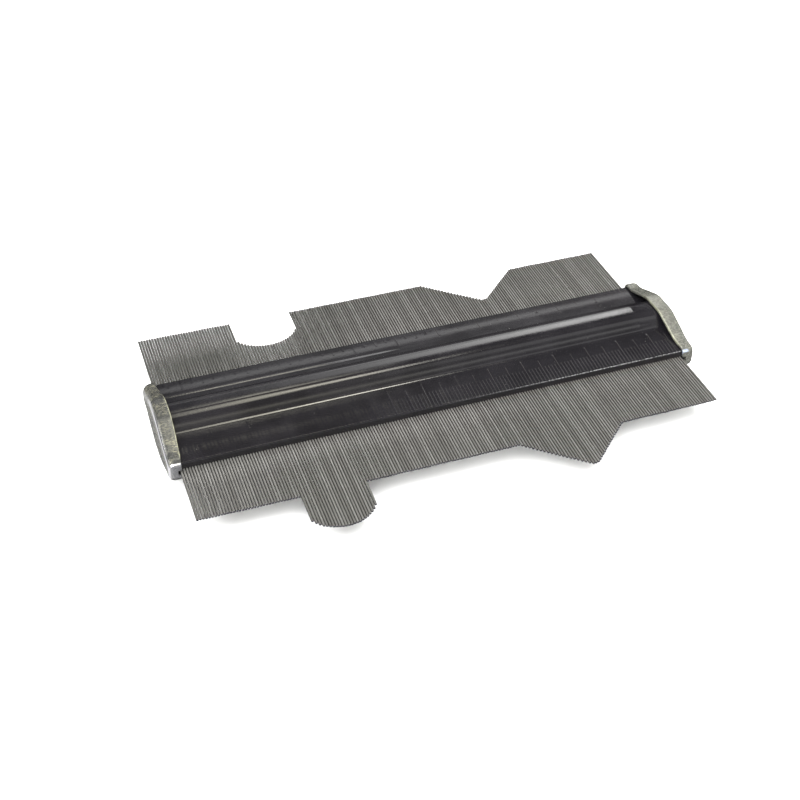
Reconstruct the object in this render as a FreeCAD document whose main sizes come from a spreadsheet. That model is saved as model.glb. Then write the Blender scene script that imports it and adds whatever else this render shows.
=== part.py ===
# Contour gauge (profile gauge), 150 mm class, millimetres, +Z up.
#
# Two identical pressed steel covers hold one flat row of parallel steel
# needles between them.  Pressed end caps wrap the two ends of the covers.
# Spacer blocks under the caps set the height of the needle slot, and inside
# the hollow ridges a felt strip, pushed by a wave spring, presses on the
# needles from above and below so that they stay where they are pushed.
#
# Frame: origin at the centre of the housing in X and Y, and at the level of
# the two flats that the end caps rest on.  X runs along the housing, Y along
# the needles, Z up.

import FreeCAD, Part
import math
import os

from FreeCAD import Vector, Placement, Rotation
import Sketcher

os.makedirs("parts", exist_ok=True)
doc = FreeCAD.newDocument("contour_gauge")

# --------------------------------------------------------------------------
# Driving dimensions
# --------------------------------------------------------------------------
DIMS = [
    ("mid_height", 7.6, "needle plane above the resting plane"),
    # needles
    ("needle_count", 188, "needles in the row"),
    ("needle_dia", 0.70, "needle diameter"),
    ("needle_length", 80.0, "needle length"),
    ("needle_pitch", 0.78, "spacing of the needles along X"),
    ("needle_tip", 0.14, "chamfer on both ends of a needle"),
    ("row_shift_x", -0.2, "row centre beside the housing centre"),
    ("row_base_y", 2.1, "straight part of the row, middle of the needles"),
    ("row_left_y", 2.43, "the same at the left end of the row"),
    ("row_right_y", 1.55, "the same right of the triangular dent"),
    # shape pushed into the row
    ("slot_dent_from", -46.6, "round dent, left wall"),
    ("slot_dent_to", -28.1, "round dent, right wall"),
    ("slot_dent_deep", 14.0, "round dent, depth"),
    ("slot_dent_round", 7.7, "round dent, height of its curved end"),
    ("vee_dent_from", 14.28, "triangular dent, left corner"),
    ("vee_dent_to", 44.13, "triangular dent, right corner"),
    ("vee_dent_low", 30.45, "triangular dent, lowest point"),
    ("vee_dent_deep", 14.0, "triangular dent, depth of its sharp corner"),
    ("vee_dent_blunt", 0.7, "triangular dent, how much the corner is blunted"),
    # covers
    ("cover_length", 151.5, "length of a cover"),
    ("cover_half_width", 17.6, "half width of a cover"),
    ("sheet", 0.8, "sheet thickness of the covers"),
    ("edge_height", 2.2, "strip at its outer edge, above the needle plane"),
    ("foot_height", 3.41, "strip at the foot of the ridge"),
    ("crest_height", 6.75, "crest of the ridge above the needle plane"),
    ("lip_height", 0.42, "lower edge of the lip above the needle plane"),
    ("lip_round", 0.7, "rounding on the long edges"),
    ("foot_half_width", 7.0, "foot of the ridge from its middle"),
    ("crest_radius", 18.0, "radius of the flattish top of the ridge"),
    ("crest_tilt", 5.5, "half angle of that top, degrees"),
    ("shoulder_y", 3.25, "corner between the top and a side, before rounding"),
    ("shoulder_radius", 4.8, "radius of that corner"),
    ("foot_radius", 2.0, "hollow radius at the foot of the ridge"),
    # end caps
    ("cap_outer_x", 76.8, "outer face of an end cap from the middle"),
    ("cap_depth", 4.7, "depth of an end cap along X"),
    ("cap_wall", 0.8, "sheet thickness of an end cap"),
    ("cap_half_width", 18.65, "half width of an end cap"),
    ("cap_tip_height", 3.3, "half height of a cap at its tips"),
    ("cap_foot_y", 14.0, "start of the cap's hump from its middle"),
    ("cap_foot_height", 3.7, "half height there"),
    ("cap_hump_y", 4.0, "end of the cap's hump slope"),
    ("cap_hump_radius", 8.0, "bend radii of the cap's outline"),
    ("cap_tip_radius", 2.3, "corner radius at the cap's tips"),
    ("left_cap_edge_radius", 2.0, "rounding of the left cap's outer edge"),
    ("right_cap_edge_radius", 1.2, "rounding of the right cap's outer edge"),
    ("cap_rim_bow", 0.95, "how far the cap's rim draws back at its tips"),
    ("cap_slot_x", 74.15, "needle slot in the cap's side walls ends here"),
    ("cap_slot_height", 1.5, "height of that slot"),
    # spacer blocks
    ("block_from", 74.15, "inner face of a spacer block"),
    ("block_to", 75.7, "outer face of a spacer block"),
    ("block_half_width", 16.6, "half width of a spacer block"),
    ("block_hump_y", 2.4, "half width of the block's hump"),
    ("block_hump_height", 5.2, "half height of the block's hump"),
    ("block_play", 0.02, "play of the block under the strips"),
    # friction strips and their springs
    ("felt_length", 146.0, "length of a felt strip"),
    ("felt_width", 8.0, "width of a felt strip"),
    ("felt_from", 0.42, "felt face above the needle plane"),
    ("felt_thick", 2.2, "thickness of a felt strip"),
    ("spring_width", 5.0, "width of a wave spring"),
    ("spring_thick", 0.35, "thickness of a wave spring"),
    ("spring_rise", 2.8, "height of a wave spring over all"),
    ("spring_pitch", 20.0, "length of one wave"),
    ("spring_waves", 7, "number of waves"),
]
sheet = doc.addObject("Spreadsheet::Sheet", "Dimensions")
for row, (alias, value, note) in enumerate(DIMS, start=1):
    sheet.set("A%d" % row, alias)
    sheet.set("B%d" % row, str(value))
    sheet.set("C%d" % row, note)
    sheet.setAlias("B%d" % row, alias)
doc.recompute()
D = {alias: float(sheet.get(alias)) for alias, _, _ in DIMS}


def cell(text):
    """An expression: every word that is an alias becomes a reference."""
    out, word = "", ""
    for ch in text + " ":
        if ch.isalnum() or ch == "_":
            word += ch
        else:
            out += ("Dimensions." + word) if word in D else word
            out += ch
            word = ""
    return out.strip()


def value(text):
    """The number that such an expression stands for."""
    names = dict(D)
    tokens, word = [], ""
    for ch in text + " ":
        if ch.isalnum() or ch in "_.":
            word += ch
        else:
            if word:
                tokens.append(word)
                word = ""
            if ch.strip():
                tokens.append(ch)
    pos = [0]

    def factor():
        tok = tokens[pos[0]]
        pos[0] += 1
        if tok == "-":
            return -factor()
        if tok == "(":
            got = total()
            pos[0] += 1
            return got
        return names[tok] if tok in names else float(tok)

    def product():
        got = factor()
        while pos[0] < len(tokens) and tokens[pos[0]] in "*/":
            tok = tokens[pos[0]]
            pos[0] += 1
            got = got * factor() if tok == "*" else got / factor()
        return got

    def total():
        got = product()
        while pos[0] < len(tokens) and tokens[pos[0]] in "+-":
            tok = tokens[pos[0]]
            pos[0] += 1
            got = got + product() if tok == "+" else got - product()
        return got

    return total()


def bind(obj, prop, text):
    obj.setExpression(prop, cell(text))


def origin_plane(body, role):
    for feature in body.Origin.OriginFeatures:
        if feature.Role == role:
            return feature
    raise RuntimeError("no plane " + role)


def outline_sketch(body, name, role, points):
    """Closed straight-sided outline; every corner is bound to the sheet."""
    sketch = body.newObject("Sketcher::SketchObject", name)
    sketch.AttachmentSupport = [(origin_plane(body, role), "")]
    sketch.MapMode = "FlatFace"
    count = len(points)
    xy = [Vector(value(a), value(b), 0) for a, b in points]
    for i in range(count):
        sketch.addGeometry(Part.LineSegment(xy[i], xy[(i + 1) % count]), False)
    for i in range(count):
        sketch.addConstraint(
            Sketcher.Constraint("Coincident", i, 2, (i + 1) % count, 1))
    for i, (a, b) in enumerate(points):
        for kind, text in (("DistanceX", a), ("DistanceY", b)):
            number = value(text)
            if abs(number) < 1e-9:
                # a corner on an axis
                line = -2 if kind == "DistanceX" else -1
                sketch.addConstraint(
                    Sketcher.Constraint("PointOnObject", i, 1, line))
            else:
                index = sketch.addConstraint(
                    Sketcher.Constraint(kind, -1, 1, i, 1, number))
                bind(sketch, "Constraints[%d]" % index, text)
    return sketch


def long_edges(shape, spots, tolerance=0.02):
    """Names of the edges along X that pass through the (y, z) spots."""
    names = []
    for y, z in spots:
        found = None
        for i, edge in enumerate(shape.Edges, start=1):
            box = edge.BoundBox
            if box.XLength < 1.0 or box.YLength > 0.01 or box.ZLength > 0.01:
                continue
            if (abs(box.YMin - y) < tolerance and abs(box.ZMin - z) < tolerance):
                found = "Edge%d" % i
                break
        if not found:
            raise RuntimeError("no edge at %.3f %.3f" % (y, z))
        names.append(found)
    return names


def round_edges(body, base, names, name, text):
    fillet = body.newObject("PartDesign::Fillet", name)
    fillet.Base = (base, names)
    bind(fillet, "Radius", text)
    doc.recompute()
    return fillet


# slope of the strips, of the ridge's top and of its sides: a side runs from
# the foot of the ridge to the shoulder
STRIP_SLOPE = math.atan2(D["foot_height"] - D["edge_height"],
                         D["cover_half_width"] - D["foot_half_width"])
TOP_SLOPE = math.radians(D["crest_tilt"])
APEX_Z = D["crest_height"] + D["crest_radius"] * (1 / math.cos(TOP_SLOPE) - 1)
SHOULDER_Z = APEX_Z - D["shoulder_y"] * math.tan(TOP_SLOPE)
SLOPE = math.atan2(SHOULDER_Z - D["foot_height"],
                   D["foot_half_width"] - D["shoulder_y"])
CAP_SLOPE = math.atan2(D["mid_height"] - D["cap_foot_height"],
                       D["cap_foot_y"] - D["cap_hump_y"])
CAP_STRIP = math.atan2(D["cap_foot_height"] - D["cap_tip_height"],
                       D["cap_half_width"] - D["cap_foot_y"])


# --------------------------------------------------------------------------
# Covers: a strip, the ridge and a strip, with a short lip along both edges
# --------------------------------------------------------------------------
def make_cover(label, turned):
    body = doc.addObject("PartDesign::Body", label)
    body.Label = label
    turn = math.sin(SLOPE - STRIP_SLOPE)
    foot_dy = (math.cos(STRIP_SLOPE) - math.cos(SLOPE)) / turn
    foot_dz = (math.sin(SLOPE) - math.sin(STRIP_SLOPE)) / turn
    edge_dz = 1 / math.cos(STRIP_SLOPE) - math.tan(STRIP_SLOPE)
    bend = math.sin(SLOPE - TOP_SLOPE)
    side_dy = (math.cos(TOP_SLOPE) - math.cos(SLOPE)) / bend
    side_dz = (math.sin(SLOPE) - math.sin(TOP_SLOPE)) / bend
    # height where the two halves of the ridge's top would meet
    apex_z = "crest_height + crest_radius * %.9f" % (
        1 / math.cos(TOP_SLOPE) - 1)
    shoulder_z = apex_z + " - shoulder_y * %.9f" % math.tan(TOP_SLOPE)
    right = [
        ("cover_half_width - sheet", "lip_height"),
        ("cover_half_width", "lip_height"),
        ("cover_half_width", "edge_height"),
        ("foot_half_width", "foot_height"),
        ("shoulder_y", shoulder_z),
    ]
    right_inner = [
        ("shoulder_y - sheet * %.9f" % side_dy,
         shoulder_z + " - sheet * %.9f" % side_dz),
        ("foot_half_width - sheet * %.9f" % foot_dy,
         "foot_height - sheet * %.9f" % foot_dz),
        ("cover_half_width - sheet", "edge_height - sheet * %.9f" % edge_dz),
    ]
    apex = [("0", apex_z)]
    apex_inner = [("0", apex_z + " - sheet * %.9f" % (1 / math.cos(TOP_SLOPE)))]

    def mirrored(points):
        return [("0 - (" + a + ")", b) for a, b in reversed(points)]

    # down the outside from the right lip to the left lip, back on the inside
    outline = right + apex + mirrored(right) + mirrored(right_inner) \
        + apex_inner + right_inner
    sketch = outline_sketch(body, label + "_section", "YZ_Plane", outline)
    pad = body.newObject("PartDesign::Pad", label + "_sheet")
    pad.Profile = sketch
    bind(pad, "Length", "cover_length")
    pad.Midplane = True
    doc.recompute()

    f, fz = D["foot_half_width"], D["foot_height"]
    fi, fzi = value(right_inner[1][0]), value(right_inner[1][1])
    h, hz = value(right[4][0]), value(right[4][1])
    hi, hzi = value(right_inner[0][0]), value(right_inner[0][1])
    feature = pad
    steps = [
        ("foot_out", [(f, fz), (-f, fz)], "foot_radius"),
        ("foot_in", [(fi, fzi), (-fi, fzi)], "foot_radius + sheet"),
        ("side_out", [(h, hz), (-h, hz)], "shoulder_radius"),
        ("side_in", [(hi, hzi), (-hi, hzi)], "shoulder_radius - sheet"),
        ("crest_out", [(0, value(apex[0][1]))], "crest_radius"),
        ("crest_in", [(0, value(apex_inner[0][1]))], "crest_radius - sheet"),
        ("edges", [(D["cover_half_width"], D["edge_height"]),
                   (-D["cover_half_width"], D["edge_height"])], "lip_round"),
    ]
    for tag, spots, radius in steps:
        names = long_edges(feature.Shape, spots)
        feature = round_edges(body, feature, names, label + "_" + tag, radius)
    body.Tip = feature
    if turned:
        body.Placement = Placement(Vector(0, 0, D["mid_height"]),
                                   Rotation(Vector(1, 0, 0), 180))
    else:
        body.Placement = Placement(Vector(0, 0, D["mid_height"]), Rotation())
    bind(body, "Placement.Base.z", "mid_height")
    return body


# --------------------------------------------------------------------------
# End caps: a shallow pressed cup whose outline follows the housing section
# --------------------------------------------------------------------------
def make_cap(label, side):
    body = doc.addObject("PartDesign::Body", label)
    body.Label = label
    quarter = [
        ("cap_half_width", "cap_tip_height"),
        ("cap_foot_y", "cap_foot_height"),
        ("cap_hump_y", "mid_height"),
    ]

    def whole(points):
        top_left = [("0 - (" + a + ")", b) for a, b in reversed(points)]
        top = points + top_left
        return top + [(a, "0 - (" + b + ")") for a, b in reversed(top)]

    sketch = outline_sketch(body, label + "_outline", "YZ_Plane", whole(quarter))
    bind(sketch, "AttachmentOffset.Base.z", "cap_outer_x - cap_depth")
    pad = body.newObject("PartDesign::Pad", label + "_blank")
    pad.Profile = sketch
    bind(pad, "Length", "cap_depth")
    doc.recompute()

    def four(y, z):
        return [(y, z), (-y, z), (y, -z), (-y, -z)]

    feature = pad
    for tag, spots, radius in (
            ("foot", four(D["cap_foot_y"], D["cap_foot_height"]),
             "cap_hump_radius"),
            ("hump", four(D["cap_hump_y"], D["mid_height"]),
             "cap_hump_radius"),
            ("tips", four(D["cap_half_width"], D["cap_tip_height"]),
             "cap_tip_radius")):
        names = long_edges(feature.Shape, spots)
        feature = round_edges(body, feature, names, label + "_" + tag, radius)

    # the rounded outer edge, all the way round the closed end
    x_out = D["cap_outer_x"]
    names = ["Edge%d" % i for i, edge in enumerate(feature.Shape.Edges, 1)
             if abs(edge.BoundBox.XMin - x_out) < 1e-4
             and abs(edge.BoundBox.XMax - x_out) < 1e-4]
    feature = round_edges(body, feature, names, label + "_outer_edge",
                          "right_cap_edge_radius" if side > 0
                          else "left_cap_edge_radius")

    # hollow: the same outline, one sheet thickness smaller
    t = D["cap_wall"]
    # corners of the inner outline, from the offset lines
    a1, a2 = CAP_STRIP, CAP_SLOPE
    foot_dy = (math.cos(a1) - math.cos(a2)) / math.sin(a2 - a1)
    foot_dz = (math.sin(a2) - math.sin(a1)) / math.sin(a2 - a1)
    hump_dy = math.tan(a2 / 2)
    # foot: the corner moves down and towards the middle
    inner = [
        ("cap_half_width - cap_wall",
         "cap_tip_height + cap_wall * (%.9f - %.9f)"
         % (math.tan(a1), 1 / math.cos(a1))),
        ("cap_foot_y - cap_wall * %.9f" % foot_dy,
         "cap_foot_height - cap_wall * %.9f" % foot_dz),
        ("cap_hump_y - cap_wall * %.9f" % hump_dy, "mid_height - cap_wall"),
    ]
    hollow = outline_sketch(body, label + "_hollow", "YZ_Plane", whole(inner))
    bind(hollow, "AttachmentOffset.Base.z", "cap_outer_x - cap_depth")
    pocket = body.newObject("PartDesign::Pocket", label + "_cup")
    pocket.Profile = hollow
    bind(pocket, "Length", "cap_depth - cap_wall")
    pocket.Reversed = True
    doc.recompute()
    before = feature.Shape.Volume
    if pocket.Shape.Volume > before * 0.7:
        raise RuntimeError(label + ": the hollow was not cut")
    feature = pocket
    yf, zf = value(inner[1][0]), value(inner[1][1])
    yh, zh = value(inner[2][0]), value(inner[2][1])
    yt, zt = value(inner[0][0]), value(inner[0][1])
    for tag, spots, radius in (
            ("foot_in", four(yf, zf), "cap_hump_radius + cap_wall"),
            ("hump_in", four(yh, zh), "cap_hump_radius - cap_wall"),):
        names = long_edges(feature.Shape, spots)
        feature = round_edges(body, feature, names, label + "_" + tag, radius)

    # slot in the two side walls, where the outermost needles pass
    slot = outline_sketch(body, label + "_slot", "XZ_Plane", [
        ("cap_outer_x - cap_depth - 1", "0 - cap_slot_height / 2"),
        ("cap_slot_x", "0 - cap_slot_height / 2"),
        ("cap_slot_x", "cap_slot_height / 2"),
        ("cap_outer_x - cap_depth - 1", "cap_slot_height / 2"),
    ])
    cut = body.newObject("PartDesign::Pocket", label + "_needle_slot")
    cut.Profile = slot
    cut.Type = 1
    cut.Midplane = True
    doc.recompute()
    if not cut.Shape.Volume < feature.Shape.Volume - 1.0:
        raise RuntimeError(label + ": the needle slot was not cut")
    # the rim draws back towards its tips along an arc
    x_rim = D["cap_outer_x"] - D["cap_depth"]
    y_far = D["cap_half_width"] + 1.0
    bow = D["cap_rim_bow"] * (y_far / D["cap_half_width"]) ** 2
    rim = body.newObject("Sketcher::SketchObject", label + "_rim")
    rim.AttachmentSupport = [(origin_plane(body, "XY_Plane"), "")]
    rim.MapMode = "FlatFace"
    ends = [Vector(x_rim + bow, -y_far, 0), Vector(x_rim + bow, y_far, 0)]
    back = [Vector(x_rim - 1, -y_far, 0), Vector(x_rim - 1, y_far, 0)]
    rim.addGeometry(Part.Arc(ends[0], Vector(x_rim, 0, 0), ends[1]), False)
    rim.addGeometry(Part.LineSegment(ends[1], back[1]), False)
    rim.addGeometry(Part.LineSegment(back[1], back[0]), False)
    rim.addGeometry(Part.LineSegment(back[0], ends[0]), False)
    trim = body.newObject("PartDesign::Pocket", label + "_rim_arc")
    trim.Profile = rim
    trim.Type = 1
    trim.Midplane = True
    doc.recompute()
    if not trim.Shape.Volume < cut.Shape.Volume - 0.5:
        raise RuntimeError(label + ": the rim was not trimmed")
    body.Tip = trim
    turn = 0 if side > 0 else 180
    body.Placement = Placement(Vector(0, 0, D["mid_height"]),
                               Rotation(Vector(0, 0, 1), turn))
    bind(body, "Placement.Base.z", "mid_height")
    return body


# --------------------------------------------------------------------------
# Spacer blocks between the covers, outside the needle row
# --------------------------------------------------------------------------
def make_block(label, side):
    body = doc.addObject("PartDesign::Body", label)
    body.Label = label
    top = [
        ("block_half_width", "edge_height - sheet + 0.04"),
        ("foot_half_width - 0.1", "foot_height - sheet - block_play - 0.05"),
        ("block_hump_y", "block_hump_height"),
    ]
    top = top + [("0 - (" + a + ")", b) for a, b in reversed(top)]
    points = top + [(a, "0 - (" + b + ")") for a, b in reversed(top)]
    sketch = outline_sketch(body, label + "_section", "YZ_Plane", points)
    bind(sketch, "AttachmentOffset.Base.z", "block_from")
    pad = body.newObject("PartDesign::Pad", label + "_bar")
    pad.Profile = sketch
    bind(pad, "Length", "block_to - block_from")
    doc.recompute()
    body.Tip = pad
    turn = 0 if side > 0 else 180
    body.Placement = Placement(Vector(0, 0, D["mid_height"]),
                               Rotation(Vector(0, 0, 1), turn))
    bind(body, "Placement.Base.z", "mid_height")
    return body


# --------------------------------------------------------------------------
# Felt strips and wave springs inside the hollow ridges
# --------------------------------------------------------------------------
def make_felt(label, up):
    felt = doc.addObject("Part::Box", label)
    felt.Label = label
    bind(felt, "Length", "felt_length")
    bind(felt, "Width", "felt_width")
    bind(felt, "Height", "felt_thick")
    bind(felt, "Placement.Base.x", "row_shift_x - felt_length / 2")
    bind(felt, "Placement.Base.y", "0 - felt_width / 2")
    bind(felt, "Placement.Base.z", "mid_height + felt_from" if up
         else "mid_height - felt_from - felt_thick")
    return felt


def make_spring(label, up):
    """A strip bent into waves; its troughs stand on the felt."""
    body = doc.addObject("PartDesign::Body", label)
    body.Label = label
    sketch = body.newObject("Sketcher::SketchObject", label + "_wave")
    sketch.AttachmentSupport = [(origin_plane(body, "XZ_Plane"), "")]
    sketch.MapMode = "FlatFace"
    thick, rise = D["spring_thick"], D["spring_rise"]
    pitch, waves = D["spring_pitch"], int(D["spring_waves"])
    swing = (rise - thick) / 2
    base = D["felt_from"] + D["felt_thick"] + thick / 2 + swing + 0.01
    steps = waves * 16
    line = []
    for i in range(steps + 1):
        x = (i / 16.0 - waves / 2.0) * pitch
        line.append((x, -math.cos(2 * math.pi * i / 16.0)))
    mid = [Vector(x + D["row_shift_x"], base + c * swing, 0) for x, c in line]
    upper, lower = [], []
    for i, p in enumerate(mid):
        a, b = mid[max(i - 1, 0)], mid[min(i + 1, steps)]
        run = (b - a).normalize()
        normal = Vector(-run.y, run.x, 0)
        upper.append(p + normal * (thick / 2))
        lower.append(p - normal * (thick / 2))
    ring = upper + lower[::-1]
    for i in range(len(ring)):
        sketch.addGeometry(
            Part.LineSegment(ring[i], ring[(i + 1) % len(ring)]), False)
    pad = body.newObject("PartDesign::Pad", label + "_strip")
    pad.Profile = sketch
    bind(pad, "Length", "spring_width")
    pad.Midplane = True
    doc.recompute()
    body.Tip = pad
    body.Placement = Placement(
        Vector(0, 0, D["mid_height"]),
        Rotation() if up else Rotation(Vector(1, 0, 0), 180))
    bind(body, "Placement.Base.z", "mid_height")
    return body


# --------------------------------------------------------------------------
# Needles, each at the place where the profile has pushed it
# --------------------------------------------------------------------------
def needle_middle(x):
    """Where the middle of the needle at x stands along Y."""
    base, low_y = D["row_base_y"], D["row_base_y"] - D["vee_dent_deep"]
    a, b = D["slot_dent_from"], D["slot_dent_to"]
    if x < a:
        end = D["row_shift_x"] - D["needle_count"] * D["needle_pitch"] / 2
        return base + (D["row_left_y"] - base) * (x - a) / (end - a)
    if x <= b:
        u = (x - (a + b) / 2) / ((b - a) / 2 + 0.15)
        end = math.sqrt(max(0.0, 1 - u * u))
        return base - D["slot_dent_deep"] + D["slot_dent_round"] * (1 - end)
    a, b, low = D["vee_dent_from"], D["vee_dent_to"], D["vee_dent_low"]
    if x <= a:
        return base
    if x >= b:
        return D["row_right_y"]
    if x < low:
        wall = base + (low_y - base) * (x - a) / (low - a)
    else:
        wall = low_y + (D["row_right_y"] - low_y) * (x - low) / (b - low)
    return max(wall, low_y + D["vee_dent_blunt"])


# the needles fan out a little: how far each one leans to +X per millimetre
LEAN = [(-73.0, 0.008), (-55.0, 0.010), (-30.0, 0.021), (-5.0, 0.022),
        (20.0, 0.016), (45.0, 0.010), (73.0, 0.003)]


def needle_lean(x):
    if x <= LEAN[0][0]:
        return LEAN[0][1]
    for (x0, k0), (x1, k1) in zip(LEAN, LEAN[1:]):
        if x <= x1:
            return k0 + (k1 - k0) * (x - x0) / (x1 - x0)
    return LEAN[-1][1]


def small_scatter(i):
    """Needles never line up exactly: a fixed spread of a few hundredths."""
    return 0.05 * math.sin(12.9898 * i) + 0.04 * math.sin(4.1414 * i + 1.3)


def make_needles():
    groups = []
    count = int(D["needle_count"])
    per_group = 4
    first = -(count - 1) / 2.0
    for g in range(count // per_group):
        members = []
        for k in range(per_group):
            i = g * per_group + k
            x = D["row_shift_x"] + (first + i) * D["needle_pitch"]
            middle = needle_middle(x) - small_scatter(i)
            lean = math.atan(needle_lean(x))
            rod = doc.addObject("Part::Cylinder", "rod_%03d" % (i + 1))
            bind(rod, "Radius", "needle_dia / 2")
            bind(rod, "Height", "needle_length")
            rod.Placement = Placement(
                Vector(x, 0, 0),
                Rotation(Vector(0, 0, 1), -math.degrees(lean))
                * Rotation(Vector(1, 0, 0), -90))
            # its axis passes through (x, 0); its middle is at "middle"
            bind(rod, "Placement.Base.x",
                 "row_shift_x + %.1f * needle_pitch + %.6f - needle_length / 2 * %.8f"
                 % (first + i, middle * math.tan(lean) + 10.0, math.sin(lean))
                 + " - 10")
            bind(rod, "Placement.Base.y",
                 "row_base_y - %.6f - needle_length / 2 * %.8f"
                 % (D["row_base_y"] - middle + 1.0, math.cos(lean)) + " + 1")
            bind(rod, "Placement.Base.z", "mid_height")
            members.append(rod)
        groups.append(members)
    doc.recompute()
    out = []
    for g, members in enumerate(groups):
        needles = []
        for rod in members:
            rings = [n for n, edge in enumerate(rod.Shape.Edges, 1)
                     if edge.Length < D["needle_length"] / 2]
            if len(rings) != 2:
                raise RuntimeError(rod.Name + ": end rings not found")
            tip = doc.addObject("Part::Chamfer", rod.Name + "_needle")
            tip.Base = rod
            tip.Edges = [(n, D["needle_tip"], D["needle_tip"]) for n in rings]
            needles.append(tip)
        node = doc.addObject("Part::Compound", "needles_%02d" % (g + 1))
        node.Label = "needles_%02d" % (g + 1)
        node.Links = needles
        out.append(node)
    doc.recompute()
    return out


subparts = [
    make_cover("top_cover", False),
    make_cover("bottom_cover", True),
    make_cap("left_end_cap", -1),
    make_cap("right_end_cap", 1),
    make_block("left_spacer_block", -1),
    make_block("right_spacer_block", 1),
    make_felt("top_felt_strip", True),
    make_felt("bottom_felt_strip", False),
    make_spring("top_wave_spring", True),
    make_spring("bottom_wave_spring", False),
]
subparts += make_needles()

# --------------------------------------------------------------------------
# Checks, then one file per sub-part
# --------------------------------------------------------------------------
doc.recompute()
bad = []
for obj in doc.Objects:
    if any(flag in ("Invalid", "Error") for flag in obj.State):
        bad.append("%s: %s" % (obj.Name, obj.State))
for obj in subparts:
    shape = obj.Shape
    if shape.isNull() or not shape.isValid() or not shape.Solids:
        bad.append("%s: bad shape" % obj.Label)
if bad:
    raise RuntimeError("; ".join(bad))

for old in os.listdir("parts"):
    if old.endswith(".step"):
        os.remove(os.path.join("parts", old))
whole = None
for obj in subparts:
    obj.Shape.exportStep(os.path.join("parts", obj.Label + ".step"))
    box = obj.Shape.BoundBox
    whole = box if whole is None else whole.united(box)
    if not obj.Label.startswith("needles_"):
        print("%-20s solids %d volume %9.2f  x %.2f..%.2f y %.2f..%.2f z %.2f..%.2f"
              % (obj.Label, len(obj.Shape.Solids), obj.Shape.Volume,
                 box.XMin, box.XMax, box.YMin, box.YMax, box.ZMin, box.ZMax))
print("nodes", len(subparts), "needles", int(D["needle_count"]))
print("whole x %.2f..%.2f y %.2f..%.2f z %.2f..%.2f"
      % (whole.XMin, whole.XMax, whole.YMin, whole.YMax, whole.ZMin, whole.ZMax))
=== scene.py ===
"""Looks of the contour gauge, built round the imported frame. Lengths are in millimetres, scaled at the end."""

import math

import bmesh
import bpy
import numpy as np
from mathutils import Matrix, Vector, noise


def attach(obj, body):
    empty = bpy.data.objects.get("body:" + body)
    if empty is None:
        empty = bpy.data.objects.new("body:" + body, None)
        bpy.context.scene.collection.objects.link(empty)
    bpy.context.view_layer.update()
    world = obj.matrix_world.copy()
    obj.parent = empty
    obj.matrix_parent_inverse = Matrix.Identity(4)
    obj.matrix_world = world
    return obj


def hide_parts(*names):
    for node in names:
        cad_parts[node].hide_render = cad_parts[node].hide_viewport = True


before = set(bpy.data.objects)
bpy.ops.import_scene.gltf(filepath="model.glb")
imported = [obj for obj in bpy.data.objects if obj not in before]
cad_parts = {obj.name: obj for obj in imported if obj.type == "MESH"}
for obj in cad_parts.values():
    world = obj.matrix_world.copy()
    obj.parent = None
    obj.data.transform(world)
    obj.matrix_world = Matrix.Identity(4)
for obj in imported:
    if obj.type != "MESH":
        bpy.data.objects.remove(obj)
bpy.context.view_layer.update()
MM = 0.001
MID = 7.6
CAP_X, CAP_DEEP, CAP_WALL, CAP_BOW = 76.8, 4.7, 0.8, 0.95
scene = bpy.context.scene
scene.view_settings.view_transform = "Standard"


# --------------------------------------------------------------------------
# Node helpers
# --------------------------------------------------------------------------
class Nodes:
    """Short spellings for building a node tree."""

    def __init__(self, tree):
        self.t = tree
        tree.nodes.clear()

    def new(self, kind, **values):
        n = self.t.nodes.new(kind)
        for key, v in values.items():
            setattr(n, key, v)
        return n

    def put(self, socket, v):
        if isinstance(v, bpy.types.NodeSocket):
            self.t.links.new(v, socket)
        elif v is not None:
            socket.default_value = v

    def math(self, op, a, b=None, c=None, clamp=False):
        n = self.new("ShaderNodeMath", operation=op, use_clamp=clamp)
        for i, v in enumerate((a, b, c)):
            if v is not None:
                self.put(n.inputs[i], v)
        return n.outputs[0]

    def add(self, a, b):
        return self.math("ADD", a, b)

    def mul(self, a, b):
        return self.math("MULTIPLY", a, b)

    def ramp(self, v, a, b, lo=0.0, hi=1.0, smooth=True):
        """lo below a, hi above b."""
        n = self.new("ShaderNodeMapRange",
                     interpolation_type="SMOOTHSTEP" if smooth else "LINEAR")
        n.clamp = True
        for i, x in enumerate((v, a, b, lo, hi)):
            self.put(n.inputs[i], x)
        return n.outputs[0]

    def window(self, v, a, b, s):
        return self.mul(self.ramp(v, a - s, a + s), self.ramp(v, b - s, b + s, 1.0, 0.0))

    def mix(self, f, a, b):
        n = self.new("ShaderNodeMix", data_type="RGBA")
        self.put(n.inputs[0], f)
        self.put(n.inputs[6], a)
        self.put(n.inputs[7], b)
        return n.outputs[2]

    def scaled(self, v, sx, sy, sz, move=(0, 0, 0)):
        n = self.new("ShaderNodeMapping")
        self.put(n.inputs["Vector"], v)
        n.inputs["Scale"].default_value = (sx, sy, sz)
        n.inputs["Location"].default_value = move
        return n.outputs[0]

    def noise(self, v, scale=1.0, detail=2.0, rough=0.5, distort=0.0):
        n = self.new("ShaderNodeTexNoise")
        self.put(n.inputs["Vector"], v)
        n.inputs["Scale"].default_value = scale
        n.inputs["Detail"].default_value = detail
        n.inputs["Roughness"].default_value = rough
        n.inputs["Distortion"].default_value = distort
        return n.outputs[0]

    def voronoi(self, v, scale=1.0, feature="F1"):
        n = self.new("ShaderNodeTexVoronoi", feature=feature)
        self.put(n.inputs["Vector"], v)
        n.inputs["Scale"].default_value = scale
        return n

    def bump(self, height, distance_mm, strength=1.0, normal=None):
        n = self.new("ShaderNodeBump")
        n.inputs["Strength"].default_value = strength
        n.inputs["Distance"].default_value = distance_mm * MM
        self.put(n.inputs["Height"], height)
        self.put(n.inputs["Normal"], normal)
        return n.outputs[0]


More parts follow.
